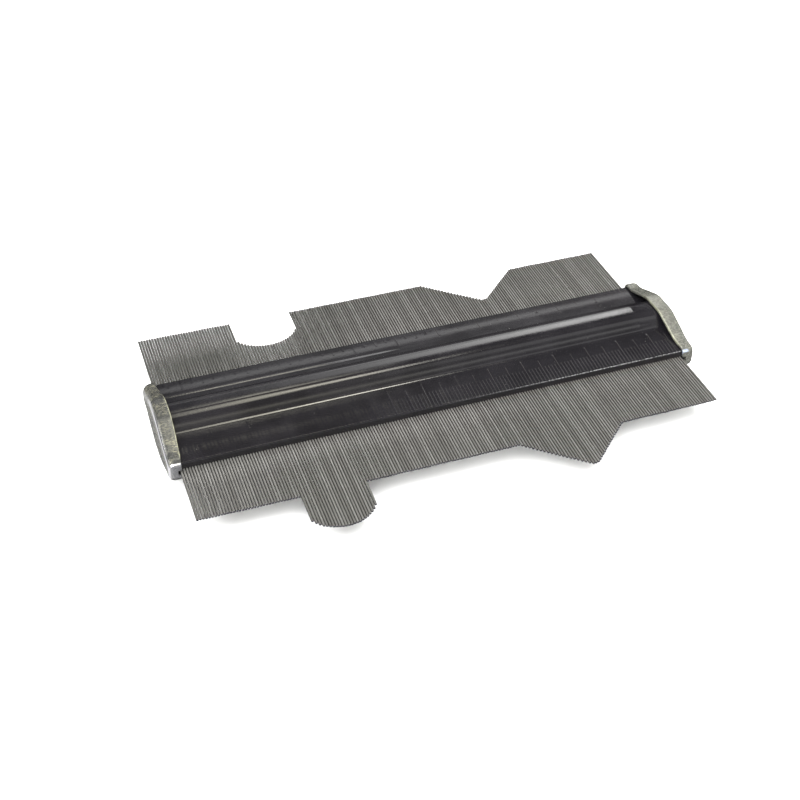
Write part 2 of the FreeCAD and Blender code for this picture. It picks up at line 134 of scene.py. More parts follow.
def material(name):
    """A material with an empty tree, its Principled shader, and its place in millimetres."""
    m = bpy.data.materials.new(name)
    m.use_nodes = True
    k = Nodes(m.node_tree)
    out = k.new("ShaderNodeOutputMaterial")
    bsdf = k.new("ShaderNodeBsdfPrincipled")
    k.put(out.inputs[0], bsdf.outputs[0])
    tc = k.new("ShaderNodeTexCoord")
    place = k.scaled(tc.outputs["Object"], 1000, 1000, 1000)
    return m, k, bsdf, place


# --------------------------------------------------------------------------
# Materials
# --------------------------------------------------------------------------
def lacquer_material(name="black_lacquer", base=(0.0056, 0.0052, 0.0063), faded=1.0):
    m, k, bsdf, p = material(name)
    at = k.new("ShaderNodeSeparateXYZ")
    k.put(at.inputs[0], p)
    edge = k.ramp(k.math("ABSOLUTE", at.outputs[1]), 17.42, 17.56)
    cloudy = k.noise(p, 0.09, 3, 0.55)
    peel = k.noise(p, 1.1, 2, 0.5)
    grain = k.noise(p, 6.5, 2, 0.6)
    dark = tuple(c * 0.80 for c in base) + (1,)
    light = tuple(c * 1.22 for c in base) + (1,)
    tone = k.mix(k.ramp(cloudy, 0.3, 0.7), dark, light)
    if faded < 1.0:
        wear_and_shade = k.mix(k.ramp(cloudy, 0.35, 0.65, 0.97, 1.0), tone, (0.0056, 0.0052, 0.0063, 1))
        tone = k.mix(k.ramp(at.outputs[0], -28.0, 34.0, 1.0, 0.0), tone, wear_and_shade)
    # dust caught in the lacquer, in loose clusters
    dots = k.voronoi(p, 1.35)
    size = k.noise(p, 0.9, 1)
    where = k.ramp(k.noise(k.scaled(p, 1, 1, 1, (40, 7, 3)), 0.16, 2), 0.52, 0.68)
    reach = k.mul(k.ramp(size, 0.35, 0.75, 0.02, 0.13), where)
    speck = k.math("LESS_THAN", dots.outputs["Distance"], reach)
    # a dashed painted highlight in light grey along the lip's edge, on the right
    lip_highlight = k.mul(k.window(k.math("ABSOLUTE", at.outputs[1]), 17.35, 17.52, 0.03), k.ramp(at.outputs[0], 4.0, 50.0, 0.0, 0.48))
    lip_highlight = k.mul(lip_highlight, k.ramp(k.noise(k.scaled(p, 2.4, 4.0, 4.0, (3, 1, 5)), 1.0, 2), 0.40, 0.60, 0.0, 1.0))
    tone = k.mix(lip_highlight, tone, (0.30, 0.30, 0.30, 1))
    k.put(bsdf.inputs["Base Color"], k.mix(k.mul(speck, 0.5), tone, (0.16, 0.15, 0.13, 1)))
    dull = k.mul(k.window(at.outputs[1], 1.5, 2.7, 0.4), k.ramp(at.outputs[0], -50.0, -22.0, 0.30, 0.0))
    rough = k.add(k.ramp(cloudy, 0.3, 0.72, 0.10, 0.16), k.add(k.add(k.mul(speck, 0.2), k.mul(edge, 0.25)), dull))
    # handling has dulled the lip on the left and rubbed the foot line and the crease bright
    left = k.ramp(at.outputs[0], -12.0, 14.0, 1.0, 0.0)
    lip = k.mul(k.ramp(k.math("ABSOLUTE", at.outputs[1]), 17.10, 17.22), left)
    shine = k.ramp(k.math("MAXIMUM", edge, lip), 0.0, 1.0, 0.5, 0.16)
    shine = k.add(shine, k.mul(k.ramp(k.math("ABSOLUTE", at.outputs[1]), 17.52, 17.58), 0.26))
    shine = k.add(shine, k.mul(k.mul(k.window(at.outputs[1], -7.5, -5.9, 0.3), left), 0.30))
    shine = k.add(shine, k.mul(k.mul(k.window(at.outputs[1], 9.1, 10.3, 0.2), left), 0.45))
    shine = k.add(shine, k.mul(k.mul(k.window(at.outputs[1], -3.7, -1.7, 0.3), k.ramp(at.outputs[0], -50.0, -28.0)), k.mul(left, -0.12)))
    shine = k.add(shine, k.mul(k.mul(k.window(at.outputs[1], -17.0, -7.9, 0.4), k.ramp(at.outputs[0], -40.0, -5.0, 1.0, 0.0)), -0.24))
    k.put(bsdf.inputs["Specular IOR Level"], shine)
    k.put(bsdf.inputs["Roughness"], rough)
    bsdf.inputs["IOR"].default_value = 1.52
    height = k.add(k.mul(peel, 1.0), k.add(k.mul(grain, 0.10), k.mul(speck, 1.4)))
    k.put(bsdf.inputs["Normal"], k.bump(height, 0.0075))
    return m


def needle_material():
    """Drawn wire; the tone of each needle is stored with its mesh."""
    m, k, bsdf, p = material("drawn_steel")
    own = k.new("ShaderNodeAttribute", attribute_type="GEOMETRY", attribute_name="tone").outputs["Fac"]
    cut = k.new("ShaderNodeAttribute", attribute_type="GEOMETRY", attribute_name="cut").outputs["Fac"]
    drawn = k.noise(k.scaled(p, 9.0, 0.10, 9.0), 1.0, 3, 0.6)
    stain = k.noise(p, 0.12, 3, 0.6)
    spots = k.noise(p, 1.8, 3, 0.65)
    tone = k.add(k.mul(own, 0.28), k.add(k.mul(drawn, 0.50), k.mul(stain, 0.20)))
    colour = k.mix(k.ramp(tone, 0.29, 0.84), (0.112, 0.109, 0.101, 1), (0.206, 0.203, 0.192, 1))
    colour = k.mix(k.ramp(spots, 0.60, 0.78, 0.0, 0.5), colour, (0.12, 0.105, 0.095, 1))
    colour = k.mix(k.mul(cut, 0.96), colour, (0.022, 0.020, 0.032, 1))
    # painted shade: the needles' flanks, between the needles, are darkened and their crowns left light
    at = k.new("ShaderNodeSeparateXYZ")
    k.put(at.inputs[0], p)
    # painted light: the needles are lighter just in front of the front lip, most on the left, where the lip shades
    # them
    colour = k.mix(k.mul(k.window(at.outputs[1], -25.0, -16.5, 2.5), k.ramp(at.outputs[0], -40.0, 40.0, 0.22, 0.05)),
                   colour, (0.30, 0.295, 0.28, 1))
    height = k.math("ABSOLUTE", k.add(at.outputs[2], -7.6))
    colour = k.mix(k.mul(k.ramp(height, 0.14, 0.33, 0.93, 0.0), k.ramp(cut, 0.0, 1.0, 1.0, 0.0)), colour, (0.012, 0.011, 0.011, 1))
    corner = k.mul(k.ramp(at.outputs[1], -6.0, 18.0, 0.0, 1.0), k.ramp(at.outputs[0], -60.0, 0.0, 1.0, 0.0))
    # painted shade: the needles darken towards the back left
    colour = k.mix(k.mul(k.ramp(at.outputs[1], -6.0, 18.0, 0.0, 1.0), k.ramp(at.outputs[0], -60.0, 0.0, 0.38, 0.02)),
                   colour, (0.02, 0.019, 0.018, 1))
    k.put(bsdf.inputs["Base Color"], colour)
    bsdf.inputs["Metallic"].default_value = 0.62
    rough = k.add(k.add(k.mul(own, 0.03), k.mul(corner, 0.12)), k.ramp(drawn, 0.3, 0.7, 0.17, 0.25))
    k.put(bsdf.inputs["Roughness"], k.add(rough, k.mul(cut, 0.3)))
    height = k.add(k.mul(drawn, 1.0), k.mul(spots, 0.5))
    k.put(bsdf.inputs["Normal"], k.bump(height, 0.010))
    return m


def cap_material():
    """Plated pressing, rubbed and scratched in short strokes; highlights on its rim, edges and tips and shade on the
    left cap are painted into its colour.
    """
    m, k, bsdf, p = material("plated_steel")
    broad = k.noise(p, 0.22, 4, 0.6)
    mottle = k.noise(p, 0.95, 4, 0.66, 1.2)
    fine = k.noise(p, 6.0, 3, 0.65)

    def strokes(turn, move):
        tilt = k.new("ShaderNodeMapping")
        k.put(tilt.inputs["Vector"], p)
        tilt.inputs["Rotation"].default_value = turn
        tilt.inputs["Scale"].default_value = (0.75, 6.5, 6.5)
        tilt.inputs["Location"].default_value = move
        return k.ramp(k.noise(tilt.outputs[0], 1.0, 2, 0.5), 0.585, 0.65)

    lines = k.math("MAXIMUM", strokes((0.5, 0.3, 0.7), (0, 0, 0)), strokes((0.2, 0.1, -0.9), (9, 4, 2)))
    lines = k.mul(lines, k.ramp(k.noise(p, 0.35, 2), 0.36, 0.56))
    sep = k.new("ShaderNodeSeparateXYZ")
    k.put(sep.inputs[0], p)
    place_x = sep.outputs[0]
    colour = k.mix(k.ramp(mottle, 0.36, 0.62), (0.108, 0.109, 0.097, 1), (0.132, 0.133, 0.117, 1))
    colour = k.mix(k.ramp(broad, 0.42, 0.7, 0.0, 0.3), colour, (0.145, 0.142, 0.115, 1))
    colour = k.mix(k.mul(lines, k.ramp(place_x, -10.0, 10.0, 0.5, 0.16)), colour, (0.40, 0.385, 0.29, 1))
    # painted shade: the left cap is kept darker than the right, all but its scratches
    wear_and_shade = k.mix(lines, (0.44, 0.44, 0.47, 1), (1.05, 1.03, 0.93, 1))
    shade = k.new("ShaderNodeMix", data_type="RGBA", blend_type="MULTIPLY")
    k.put(shade.inputs[0], k.ramp(sep.outputs[0], -10.0, 10.0, 1.0, 0.0))
    k.put(shade.inputs[6], colour)
    k.put(shade.inputs[7], wear_and_shade)
    # the rounded edge of the left cap is rubbed bright, with a painted highlight along it, stronger to the front
    polish_and_highlight = k.mul(k.ramp(place_x, -76.66, -76.50), k.ramp(place_x, -76.25, -76.0, 1.0, 0.0))
    polish_and_highlight = k.mul(polish_and_highlight, k.ramp(sep.outputs[1], -6.0, 12.0, 1.0, 0.15))
    # painted highlight along the top edge of the left cap's front tip
    front = k.mul(k.window(sep.outputs[1], -18.12, -17.84, 0.05), k.ramp(place_x, -72.0, -70.0, 1.0, 0.0))
    polish_and_highlight = k.math("MAXIMUM", polish_and_highlight, k.mul(front, k.ramp(sep.outputs[2], 7.6, 8.0)))
    # a warm painted highlight along the rim over the cover, stronger on the left cap
    bow = k.math("POWER", k.mul(k.math("ABSOLUTE", sep.outputs[1]), 1 / 18.65), 2.0)
    off = k.math("ABSOLUTE", k.add(k.math("ABSOLUTE", place_x), k.add(k.mul(bow, -CAP_BOW), CAP_DEEP - CAP_X - 0.12)))
    rim_highlight = k.mul(k.ramp(off, 0.05, 0.21, 1.0, 0.0), k.mul(k.ramp(sep.outputs[1], 3.0, 8.0, 1.0, 0.0), k.ramp(sep.outputs[1], -17.4, -16.2)))
    rim_highlight = k.mul(rim_highlight, k.mul(k.ramp(k.noise(p, 0.5, 2), 0.35, 0.6, 0.35, 1.0), k.ramp(sep.outputs[2], 7.6, 8.0)))
    surface = k.mix(k.mul(rim_highlight, k.ramp(place_x, -10.0, 10.0, 1.0, 0.5)), shade.outputs[2], (0.40, 0.395, 0.28, 1))
    nose = k.mul(k.ramp(sep.outputs[1], -18.25, -17.95, 0.85, 0.0), k.ramp(place_x, -72.0, -70.0, 1.0, 0.0))
    surface = k.mix(nose, surface, (0.135, 0.135, 0.142, 1))
    # painted highlight: a small bluish patch on top of the right cap's front tip
    tip_highlight = k.mul(k.window(sep.outputs[1], -18.38, -17.92, 0.08), k.mul(k.window(place_x, 72.8, 74.7, 0.3), k.ramp(sep.outputs[2], 8.8, 9.3)))
    surface = k.mix(k.mul(tip_highlight, 0.7), surface, (0.40, 0.46, 0.60, 1))
    k.put(bsdf.inputs["Base Color"], k.mix(k.mul(polish_and_highlight, 0.9), surface, (0.90, 0.90, 0.93, 1)))
    k.put(bsdf.inputs["Metallic"], k.ramp(polish_and_highlight, 0.0, 1.0, 0.5, 1.0))
    k.put(bsdf.inputs["Roughness"], k.add(k.ramp(mottle, 0.3, 0.7, 0.20, 0.30), k.add(k.mul(lines, 0.15), k.mul(polish_and_highlight, -0.08))))
    calm = k.ramp(sep.outputs[0], -10.0, 10.0, 1.0, 0.35)
    calm = k.mul(calm, k.ramp(polish_and_highlight, 0.0, 1.0, 1.0, 0.25))
    height = k.mul(k.add(k.mul(mottle, 0.35), k.add(k.mul(fine, 0.12), k.mul(lines, 0.8))), calm)
    k.put(bsdf.inputs["Normal"], k.bump(height, 0.02))
    return m


def block_material():
    m, k, bsdf, p = material("stamped_steel")
    a = k.noise(p, 0.8, 4, 0.6)
    b = k.noise(k.scaled(p, 8, 0.6, 8), 1.0, 2)
    k.put(bsdf.inputs["Base Color"], k.mix(k.ramp(a, 0.3, 0.7), (0.30, 0.30, 0.29, 1), (0.50, 0.49, 0.46, 1)))
    bsdf.inputs["Metallic"].default_value = 1.0
    k.put(bsdf.inputs["Roughness"], k.ramp(b, 0.3, 0.7, 0.35, 0.5))
    k.put(bsdf.inputs["Normal"], k.bump(k.add(a, b), 0.02))
    return m


def spring_material():
    m, k, bsdf, p = material("blued_spring_steel")
    a = k.noise(p, 0.5, 3, 0.6)
    b = k.noise(k.scaled(p, 0.3, 10, 0.3), 1.0, 2)
    k.put(bsdf.inputs["Base Color"], k.mix(k.ramp(a, 0.35, 0.68), (0.19, 0.21, 0.27, 1), (0.34, 0.32, 0.27, 1)))
    bsdf.inputs["Metallic"].default_value = 1.0
    k.put(bsdf.inputs["Roughness"], k.ramp(b, 0.3, 0.7, 0.25, 0.4))
    k.put(bsdf.inputs["Normal"], k.bump(b, 0.01))
    return m


def felt_material():
    m, k, bsdf, p = material("grey_felt")
    fibres = k.noise(k.scaled(p, 2.0, 7.0, 7.0), 1.0, 4, 0.7, 1.5)
    clumps = k.noise(p, 0.8, 3, 0.6)
    colour = k.mix(k.ramp(fibres, 0.3, 0.7), (0.10, 0.098, 0.09, 1), (0.27, 0.265, 0.245, 1))
    k.put(bsdf.inputs["Base Color"], k.mix(k.ramp(clumps, 0.4, 0.7, 0, 0.4), colour, (0.35, 0.33, 0.29, 1)))
    bsdf.inputs["Roughness"].default_value = 0.95
    bsdf.inputs["Sheen Weight"].default_value = 0.4
    bsdf.inputs["Sheen Roughness"].default_value = 0.5
    k.put(bsdf.inputs["Normal"], k.bump(k.add(fibres, clumps), 0.12))
    return m


LACQUER = lacquer_material()
MARK = lacquer_material("lacquer_in_the_marks", (0.0225, 0.0215, 0.0210), 0.5)
NEEDLE = needle_material()
CAP = cap_material()
BLOCK = block_material()
SPRING = spring_material()
FELT = felt_material()

# --------------------------------------------------------------------------
# Covers: the CAD section, with engraved marks on both strips
# --------------------------------------------------------------------------
HALF_W, EDGE_Z, FOOT_Y, FOOT_Z, CREST_Z = 17.6, 2.2, 7.0, 3.41, 6.75
TOP_R, TOP_A, SIDE_R = 24.0, math.radians(4.5), 4.4    # flat top of the ridge, then its shoulders
FOOT_R, LIP_Z, LIP_R, SHEET = 2.0, 0.42, 0.5, 0.8
HALF_L = 75.75
A1 = math.atan2(FOOT_Z - EDGE_Z, HALF_W - FOOT_Y)
SIDE_Y = (TOP_R - SIDE_R) * math.sin(TOP_A)
SIDE_Z = CREST_Z - TOP_R + (TOP_R - SIDE_R) * math.cos(TOP_A)
A2 = math.pi / 2 - (math.atan2(FOOT_Z - SIDE_Z, FOOT_Y - SIDE_Y)
                    + math.acos(SIDE_R / math.hypot(FOOT_Y - SIDE_Y, FOOT_Z - SIDE_Z)))


BENDS = [(7.5, 0.0), (7.9, -0.013), (10.6, -0.013), (11.3, -0.003), (12.0, 0.010), (13.1, 0.024),
         (14.0, 0.020), (15.0, 0.006), (15.8, -0.012), (16.5, -0.012), (16.85, 0.0)]
RUN = np.arange(7.4, 16.9, 0.05)
LIFT = np.cumsum(np.interp(RUN, [q[0] for q in BENDS], [q[1] for q in BENDS])) * 0.05
LIFT = LIFT - LIFT[-1] * (RUN - RUN[0]) / (RUN[-1] - RUN[0])


def wave(y):
    """The pressed strips aren't quite flat: a few hundredths across their width."""
    return float(np.interp(y, RUN, LIFT))


def crease(y, x):
    """A low step in the back strip, left of the middle."""
    share = min(1.0, max(0.0, (-2.0 - x) / 26.0))
    return share * float(np.interp(y, [9.15, 9.85, 11.4], [0.0, 0.145, 0.0]))


def sink(y, x):
    """Towards the right cap the ridge runs down a little."""
    down = min(max(x - 65.7, 0.0), 6.0) * 0.036
    front = min(1.0, max(0.0, (-1.5 - y) / 1.2))
    t = min(1.0, max(0.0, (x - 60.5) / 11.2))
    down += front * (0.216 * t * t * (3 - 2 * t) - down)
    return down * min(1.0, max(0.0, (7.2 - abs(y)) / 2.6))


def pinched(y):
    """The front foot of the ridge stands a little nearer the middle."""
    a = min(1.0, max(0.0, (y - 4.6) / 1.9))
    b = min(1.0, max(0.0, (9.6 - y) / 2.2))
    return y - 0.5 * a * a * (3 - 2 * a) * b * b * (3 - 2 * b)


def half_section(d, strip_y):
    """Points (y, z, ny, nz) from the crest to the lip's lower edge, d inside the outer face."""
    out = []
    r = TOP_R - d
    for i in range(8):
        a = TOP_A * i / 8
        out.append((r * math.sin(a), CREST_Z - TOP_R + r * math.cos(a), math.sin(a), math.cos(a)))
    r = SIDE_R - d
    for i in range(13):
        a = TOP_A + (A2 - TOP_A) * i / 12
        out.append((SIDE_Y + r * math.sin(a), SIDE_Z + r * math.cos(a), math.sin(a), math.cos(a)))
    # hollow at the foot: its centre is above the two lines
    t = FOOT_R * math.tan((A2 - A1) / 2)
    start = (FOOT_Y - t * math.cos(A2), FOOT_Z + t * math.sin(A2))
    cy = start[0] + FOOT_R * math.sin(A2)
    cz = start[1] + FOOT_R * math.cos(A2)
    rf = FOOT_R + d
    out.append((0.5 * (out[-1][0] + cy - rf * math.sin(A2)),
                0.5 * (out[-1][1] + cz - rf * math.cos(A2)), math.sin(A2), math.cos(A2)))
    for i in range(13):
        a = A2 + (A1 - A2) * i / 12
        out.append((cy - rf * math.sin(a), cz - rf * math.cos(a), math.sin(a), math.cos(a)))
    # strip: straight rows
    n = (math.sin(A1), math.cos(A1))
    for y in strip_y:
        z = EDGE_Z + (HALF_W - y) * math.tan(A1)
        if d == 0.0:
            z += wave(y)
        out.append((y - d * n[0], z - d * n[1], n[0], n[1]))
    # rounded edge, then down the lip
    re = max(LIP_R - d, 0.0)
    te = LIP_R * math.tan((math.pi / 2 - A1) / 2)
    oy, oz = HALF_W - LIP_R, EDGE_Z - te
    if re == 0.0:
        oy, oz = HALF_W - d, EDGE_Z - d * (1 / math.cos(A1) - math.tan(A1))
    for i in range(9):
        a = A1 + (math.pi / 2 - A1) * i / 8
        out.append((oy + re * math.sin(a), oz + re * math.cos(a), math.sin(a), math.cos(a)))
    out.append((HALF_W - d, LIP_Z, 1.0, 0.0))
    return out


def marks():
    """Every engraved mark as (x, side, inner end y, half width, depth)."""
    found = []
    zero = -73.35
    for i in range(0, 147):
        x = zero + i
        if not -72.6 < x < 72.6:
            continue
        wear_and_shade = min(1.0, max(0.2, (x + 42.0) / 55.0))
        if i % 10 == 0:
            found.append((x, -1, 0, 0.085, 0.055 * wear_and_shade))
        elif i % 5 == 0:
            found.append((x, -1, 1, 0.075, 0.045 * wear_and_shade))
        else:
            found.append((x, -1, 2, 0.07, 0.04 * wear_and_shade))
    for i in range(0, 93):
        x = 73.35 - 1.5875 * i
        if not -72.6 < x < 72.6:
            continue
        level = 0 if i % 16 == 0 else 1 if i % 8 == 0 else 2 if i % 4 == 0 else 3 if i % 2 == 0 else 4
        found.append((x, 1, level, 0.10, 0.06 * min(1.0, max(0.18, (x + 30.0) / 45.0))))
    return sorted(found)


FRONT_ENDS = [7.7, 9.0, 11.7]               # 10 mm, 5 mm and 1 mm marks
BACK_ENDS = [10.6, 12.2, 13.4, 14.4, 15.4]   # inch, half, quarter, eighth, sixteenth


def cover_mesh(name, turned):
    te = LIP_R * math.tan((math.pi / 2 - A1) / 2)
    y_end = HALF_W - te * math.cos(A1)
    ends = sorted(FRONT_ENDS + BACK_ENDS)
    rows = set()
    for e in ends:
        rows |= {round(e - 0.04, 3), round(e + 0.04, 3)}
    rows |= {7.9, 8.4, 8.9, 9.15, 9.3, 9.5, 9.7, 9.9, 10.1, 10.3, 11.0, 11.4, 11.9, 12.5, 13.0, 13.9, 14.9, 15.9, 16.3, 16.6}
    t = FOOT_R * math.tan((A2 - A1) / 2)
    foot_end = FOOT_Y + t * math.cos(A1)
    strip_y = []
    for y in sorted(y for y in rows if foot_end + 0.02 < y < y_end - 0.02):
        if not strip_y or y - strip_y[-1] > 0.05:
            strip_y.append(y)
    outer = half_section(0.0, strip_y)
    inner = half_section(SHEET, strip_y)

    def whole(half):
        return [(-pinched(y), z, -ny, nz) for y, z, ny, nz in reversed(half[1:])] + half

    outer, inner = whole(outer), whole(inner)
    found = marks()
    stations = {-HALF_L, HALF_L, 65.4, 65.7, 66.0, 71.7, 72.0}
    for x, side, level, h, depth in found:
        stations |= {round(x - h, 4), round(x, 4), round(x + h, 4)}
    xs = sorted(stations)
    # marks of the two strips may come close together: keep the stations apart
    kept = [xs[0]]
    for x in xs[1:]:
        if x - kept[-1] > 0.012:
            kept.append(x)
    xs = kept
    depth_at = {}
    xa = np.array(xs)
    for x, side, level, h, depth in found:
        end = (FRONT_ENDS if side < 0 else BACK_ENDS)[level]
        inside = np.where(np.abs(xa - x) < h - 0.02)[0]
        for i in inside:
            share = 1 - abs(xs[i] - x) / h
            depth_at.setdefault((int(i), side), []).append((end, depth * share))
    flip = -1.0 if turned else 1.0
    bm = bmesh.new()
    grid = []
    for i, x in enumerate(xs):
        column = []
        for y, z, ny, nz in outer:
            down = 0.0
            for end, depth in depth_at.get((i, 1 if y > 0 else -1), ()):
                if abs(y) > end and nz > 0.25:
                    down = max(down, depth)
            if 9.15 < y < 11.4:
                z += crease(y, x)
            if x > 65.7:
                z -= sink(y, x)
            column.append(bm.verts.new((x * MM, flip * (y - down * ny) * MM,
                                        (MID + flip * (z - down * nz)) * MM)))
        for y, z, ny, nz in reversed(inner):
            if x > 65.7:
                z -= sink(y, x)
            column.append(bm.verts.new((x * MM, flip * y * MM, (MID + flip * z) * MM)))
        grid.append(column)
    count = len(grid[0])
    n_out = len(outer)
    for i in range(len(xs) - 1):
        for j in range(count):
            j2 = (j + 1) % count
            f = bm.faces.new((grid[i][j], grid[i][j2], grid[i + 1][j2], grid[i + 1][j]))
            f.smooth = True
            if j < n_out - 1:
                y, _, _, nz = outer[j]
                y2 = outer[j + 1][0]
                side = 1 if y + y2 > 0 else -1
                low = min(abs(y), abs(y2))
                for a in (i, i + 1):
                    for end, depth in depth_at.get((a, side), ()):
                        if low > end and nz > 0.25 and depth > 0.02:
                            f.material_index = 1
    for i in (0, len(xs) - 1):
        for j in range(n_out - 1):
            a, b = grid[i][j], grid[i][j + 1]
            c, d = grid[i][count - 2 - j], grid[i][count - 1 - j]
            bm.faces.new((a, b, c, d) if i else (d, c, b, a))
    bmesh.ops.remove_doubles(bm, verts=bm.verts, dist=1e-7)
    bmesh.ops.recalc_face_normals(bm, faces=bm.faces)
    mesh = bpy.data.meshes.new(name)
    bm.to_mesh(mesh)
    bm.free()
    mesh.materials.append(LACQUER)
    mesh.materials.append(MARK)
    mesh.set_sharp_from_angle(angle=math.radians(24))
    o = bpy.data.objects.new(name, mesh)
    scene.collection.objects.link(o)
    return o


for label, turned in (("top_cover", False), ("bottom_cover", True)):
    piece = cover_mesh(label + "_sheet", turned)
    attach(piece, "housing")
    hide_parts(label)

# --------------------------------------------------------------------------
# Needles: round drawn wires with broken edges at their cut ends
# --------------------------------------------------------------------------
NEEDLE_R, NEEDLE_L, PITCH, ROW_X = 0.37, 80.0, 0.78, -0.2
LEAN = [(-73.0, 0.008), (-55.0, 0.010), (-30.0, 0.021), (-5.0, 0.022),
        (20.0, 0.016), (45.0, 0.010), (73.0, 0.003)]


def lean_at(x):
    return float(np.interp(x, [q[0] for q in LEAN], [q[1] for q in LEAN]))


def middle_at(x):
    if x < -46.6:
        return 2.1 + 0.33 * (x + 46.6) / (-73.52 + 46.6)
    if x <= -28.1:
        u = (x + 37.35) / (9.25 + 0.15)
        return 2.1 - 14.0 + 7.7 * (1 - math.sqrt(max(0.0, 1 - u * u)))
    if x <= 14.28:
        return 2.1
    if x >= 44.13:
        return 1.55
    if x < 30.45:
        wall = 2.1 - 14.0 * (x - 14.28) / (30.45 - 14.28)
    else:
        wall = -11.9 + (1.55 + 11.9) * (x - 30.45) / (44.13 - 30.45)
    return max(wall, -11.2)


def scatter(i):
    return 0.05 * math.sin(12.9898 * i) + 0.04 * math.sin(4.1414 * i + 1.3)


def needle_group(g, rng):
    bm = bmesh.new()
    tone = bm.verts.layers.float.new("tone")
    cut = bm.verts.layers.float.new("cut")
    sides = 14
    # (distance from the end, radius, how much of the cut face)
    tip = [(0.0, 0.0, 1.0), (0.0, 0.18, 1.0), (0.012, 0.25, 0.95), (0.05, 0.31, 0.6), (0.13, 0.354, 0.2), (0.24, 0.37, 0.0)]
    for n in range(4):
        i = g * 4 + n
        x = ROW_X + (i - 93.5) * PITCH
        lean = math.atan(lean_at(x))
        mid = middle_at(x) - scatter(i)
        along = Vector((math.sin(lean), math.cos(lean), 0))
        across = Vector((math.cos(lean), -math.sin(lean), 0))
        centre = Vector((x + mid * math.tan(lean), mid, MID))
        own = float(rng.random())
        stations = [(-NEEDLE_L / 2 + q[0], q[1], q[2]) for q in tip]
        stations += [(t, NEEDLE_R, 0.0) for t in (-20.0, 0.0, 20.0)]
        stations += [(NEEDLE_L / 2 - q[0], q[1], q[2]) for q in reversed(tip)]
        rings = []
        for t, r, c in stations:
            at = centre + along * t
            if r == 0.0:
                ring = [bm.verts.new(at * MM)]
            else:
                ring = []
                for q in range(sides):
                    a = 2 * math.pi * (q + 0.5) / sides
                    ring.append(bm.verts.new((at + across * (r * math.cos(a)) + Vector((0, 0, r * math.sin(a)))) * MM))
            for v in ring:
                v[tone] = own
                v[cut] = c
            rings.append(ring)
        for a, b in zip(rings, rings[1:]):
            for q in range(sides):
                q2 = (q + 1) % sides
                if len(a) == 1:
                    f = bm.faces.new((a[0], b[q2], b[q]))
                elif len(b) == 1:
                    f = bm.faces.new((b[0], a[q], a[q2]))
                else:
                    f = bm.faces.new((a[q], a[q2], b[q2], b[q]))
                f.smooth = True
    bmesh.ops.recalc_face_normals(bm, faces=bm.faces)
    mesh = bpy.data.meshes.new("needle_wires_%02d" % (g + 1))
    bm.to_mesh(mesh)
    bm.free()
    mesh.materials.append(NEEDLE)
    mesh.set_sharp_from_angle(angle=math.radians(50))
    o = bpy.data.objects.new(mesh.name, mesh)
    scene.collection.objects.link(o)
    return o


rng = np.random.default_rng(11)
for g in range(47):
    wires = needle_group(g, rng)
    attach(wires, "needles_%02d" % (g + 1))
    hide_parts("needles_%02d" % (g + 1))


# --------------------------------------------------------------------------
# End caps: pressed cups with soft edges
# --------------------------------------------------------------------------


def rounded_path(points, radii, first, last):
    """(y, z, ny, nz) along a path with rounded corners; the outside is on its right."""
    out = []

    def straight(a, b, n):
        d = np.array(b) - np.array(a)
        t = d / np.hypot(*d)
        for i in range(n):
            q = np.array(a) + d * i / n
            out.append((q[0], q[1], t[1], -t[0]))

    here = np.array(first, float)
    pts = [np.array(q, float) for q in points] + [np.array(last, float)]
    for i, r in enumerate(radii):
        c = pts[i]
        u = (c - here) / np.hypot(*(c - here))
        v = (pts[i + 1] - c) / np.hypot(*(pts[i + 1] - c))
        turn = math.atan2(u[0] * v[1] - u[1] * v[0], u @ v)
        t = r * math.tan(abs(turn) / 2)
        a = c - u * t
        straight(here, a, max(2, int(np.hypot(*(a - here)) / 0.9)))
        side = 1.0 if turn > 0 else -1.0
        centre = a + side * r * np.array((-u[1], u[0]))
        n0 = np.array((u[1], -u[0]))
        steps = max(4, int(abs(math.degrees(turn)) / 7))
        for j in range(steps):
            w = turn * j / steps
            n = np.array((n0[0] * math.cos(w) - n0[1] * math.sin(w), n0[0] * math.sin(w) + n0[1] * math.cos(w)))
            q = centre + side * r * n
            out.append((q[0], q[1], n[0], n[1]))
        here = c + v * t
    straight(here, pts[-1], max(2, int(np.hypot(*(pts[-1] - here)) / 0.9)))
    return out


